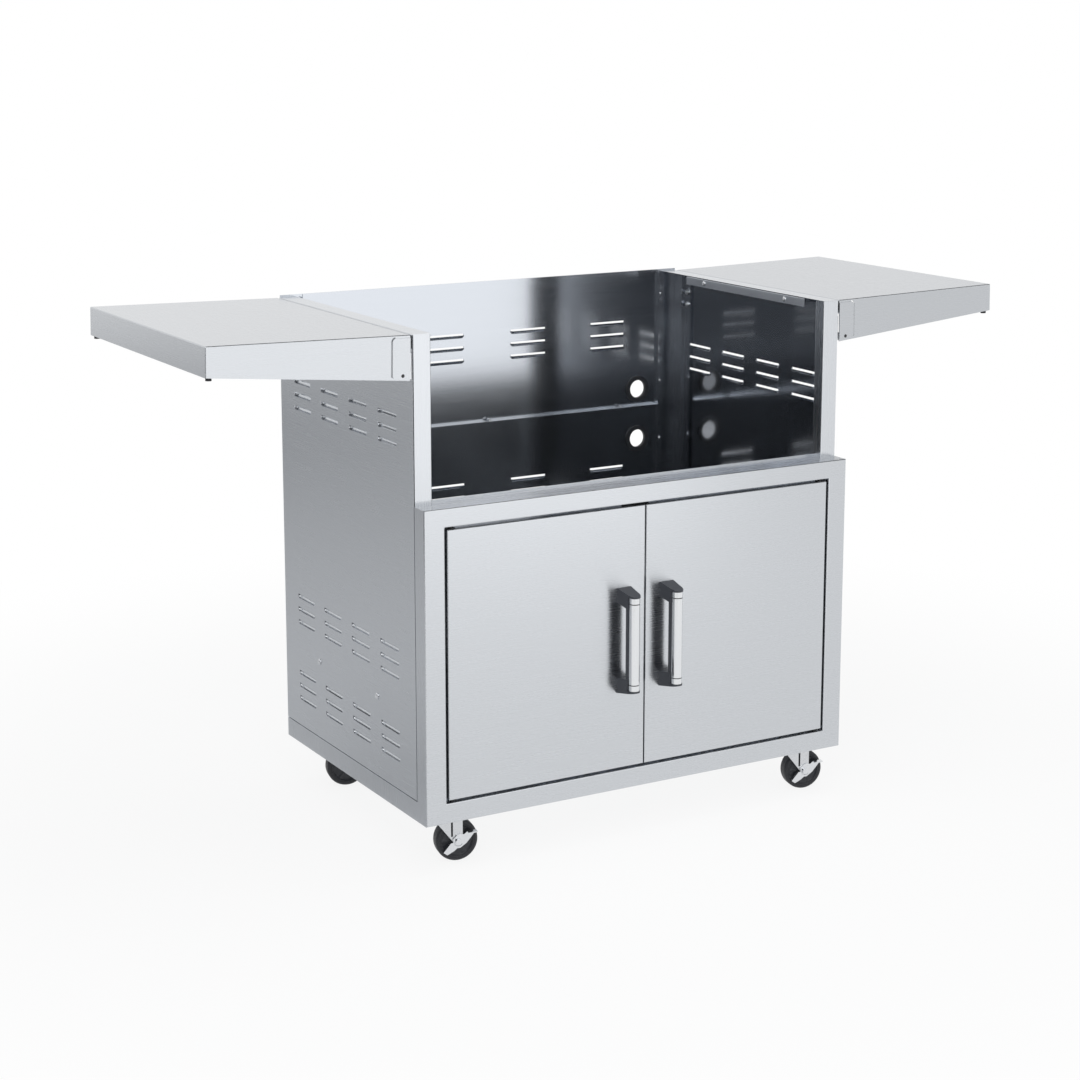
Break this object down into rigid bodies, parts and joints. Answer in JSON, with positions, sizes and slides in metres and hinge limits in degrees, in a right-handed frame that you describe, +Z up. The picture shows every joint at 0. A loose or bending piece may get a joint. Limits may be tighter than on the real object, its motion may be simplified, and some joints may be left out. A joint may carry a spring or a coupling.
{
  "type": "grill cart",
  "caption": "Brushed stainless cabinet cart with an open well for a drop-in grill head, double doors, folding side shelves and swivel casters.",
  "frame": {"origin": "on the floor, under the middle of the cart's overall box", "axes": "+X to the right as seen facing the doors, +Y to the back, +Z up; the doors face -Y"},
  "size_m": [1.5842, 0.622, 0.9321],
  "materials": {
    "brushed_steel": "fine brushed satin",
    "bar_steel": "brushed round the bar",
    "zinc_steel": "bright zinc plate",
    "handle_grey": "dark grey satin coat",
    "black_rubber": "matt black rubber",
    "black_wheel": "hard black rubber",
    "black_nylon": "black nylon",
    "catch_black": "black moulding"
  },
  "bodies": {
    "cabinet": {"front_frame": "brushed_steel", "base_pan": "brushed_steel", "left_side_panel": "brushed_steel", "right_side_panel": "brushed_steel", "upper_back_panel": "brushed_steel", "lower_back_panel": "brushed_steel", "hose_grommets": "black_rubber", "front_cross_rail": "brushed_steel", "tank_rail": "brushed_steel", "magnet_catch": "catch_black", "left_front_post": "brushed_steel", "right_front_post": "brushed_steel", "left_rear_post": "brushed_steel", "right_rear_post": "brushed_steel", "left_support_rail": "brushed_steel", "right_support_rail": "brushed_steel", "panel_bolts": "zinc_steel", "door_pivot_pins": "zinc_steel", "left_shelf_brackets": "zinc_steel", "right_shelf_brackets": "zinc_steel", "left_shelf_pins": "zinc_steel", "right_shelf_pins": "zinc_steel", "shelf_bracket_bolts": "zinc_steel", "caster_plates": "zinc_steel", "caster_bolts": "zinc_steel"},
    "left_door": {"left_door_skin": "brushed_steel", "left_door_liner": "brushed_steel", "left_door_bushes": "black_nylon", "left_strike_plate": "zinc_steel", "left_handle_bar": "bar_steel", "left_handle_mounts": "handle_grey"},
    "left_shelf": {"left_shelf_pan": "brushed_steel", "left_shelf_hinge_covers": "brushed_steel", "left_shelf_brace": "brushed_steel", "left_shelf_bumpers": "black_rubber"},
    "right_door": {"right_door_skin": "brushed_steel", "right_door_liner": "brushed_steel", "right_door_bushes": "black_nylon", "right_strike_plate": "zinc_steel", "right_handle_bar": "bar_steel", "right_handle_mounts": "handle_grey"},
    "right_shelf": {"right_shelf_pan": "brushed_steel", "right_shelf_hinge_covers": "brushed_steel", "right_shelf_brace": "brushed_steel", "right_shelf_bumpers": "black_rubber"},
    "front_left_caster": {"front_left_fork": "zinc_steel", "front_left_axle": "zinc_steel"},
    "front_left_roller": {"front_left_wheel": "black_wheel"},
    "front_left_brake": {"front_left_brake_lever": "zinc_steel"},
    "front_right_caster": {"front_right_fork": "zinc_steel", "front_right_axle": "zinc_steel"},
    "front_right_roller": {"front_right_wheel": "black_wheel"},
    "front_right_brake": {"front_right_brake_lever": "zinc_steel"},
    "rear_left_caster": {"rear_left_fork": "zinc_steel", "rear_left_axle": "zinc_steel"},
    "rear_left_roller": {"rear_left_wheel": "black_wheel"},
    "rear_right_caster": {"rear_right_fork": "zinc_steel", "rear_right_axle": "zinc_steel"},
    "rear_right_roller": {"rear_right_wheel": "black_wheel"}
  },
  "joints": [
    {"name": "left_door_hinge", "type": "hinge", "parent": "cabinet", "child": "left_door", "pos_m": [-0.379, -0.257, 0.3655], "axis": [0, 0, -1], "range_deg": [0, 105]},
    {"name": "left_shelf_fold", "type": "hinge", "parent": "cabinet", "child": "left_shelf", "pos_m": [-0.45, 0, 0.858], "axis": [0, -1, 0], "range_deg": [0, 95]},
    {"name": "right_door_hinge", "type": "hinge", "parent": "cabinet", "child": "right_door", "pos_m": [0.379, -0.257, 0.3655], "axis": [0, 0, 1], "range_deg": [0, 105]},
    {"name": "right_shelf_fold", "type": "hinge", "parent": "cabinet", "child": "right_shelf", "pos_m": [0.45, 0, 0.858], "axis": [0, 1, 0], "range_deg": [0, 95]},
    {"name": "front_left_swivel", "type": "hinge", "parent": "cabinet", "child": "front_left_caster", "pos_m": [-0.368, -0.201, 0.092], "axis": [0, 0, 1], "continuous": true},
    {"name": "front_left_roll", "type": "hinge", "parent": "front_left_caster", "child": "front_left_roller", "pos_m": [-0.34648, -0.20557, 0.0375], "axis": [0.2079, 0.9781, 0], "continuous": true},
    {"name": "front_left_brake_press", "type": "hinge", "parent": "front_left_caster", "child": "front_left_brake", "pos_m": [-0.34648, -0.20557, 0.0375], "axis": [0.2079, 0.9781, 0], "range_deg": [0, 14]},
    {"name": "front_right_swivel", "type": "hinge", "parent": "cabinet", "child": "front_right_caster", "pos_m": [0.368, -0.201, 0.092], "axis": [0, 0, 1], "continuous": true},
    {"name": "front_right_roll", "type": "hinge", "parent": "front_right_caster", "child": "front_right_roller", "pos_m": [0.38952, -0.20557, 0.0375], "axis": [0.2079, 0.9781, 0], "continuous": true},
    {"name": "front_right_brake_press", "type": "hinge", "parent": "front_right_caster", "child": "front_right_brake", "pos_m": [0.38952, -0.20557, 0.0375], "axis": [0.2079, 0.9781, 0], "range_deg": [0, 14]},
    {"name": "rear_left_swivel", "type": "hinge", "parent": "cabinet", "child": "rear_left_caster", "pos_m": [-0.368, 0.243, 0.092], "axis": [0, 0, 1], "continuous": true},
    {"name": "rear_left_roll", "type": "hinge", "parent": "rear_left_caster", "child": "rear_left_roller", "pos_m": [-0.34648, 0.23843, 0.0375], "axis": [0.2079, 0.9781, 0], "continuous": true},
    {"name": "rear_right_swivel", "type": "hinge", "parent": "cabinet", "child": "rear_right_caster", "pos_m": [0.368, 0.243, 0.092], "axis": [0, 0, 1], "continuous": true},
    {"name": "rear_right_roll", "type": "hinge", "parent": "rear_right_caster", "child": "rear_right_roller", "pos_m": [0.38952, 0.23843, 0.0375], "axis": [0.2079, 0.9781, 0], "continuous": true}
  ]
}
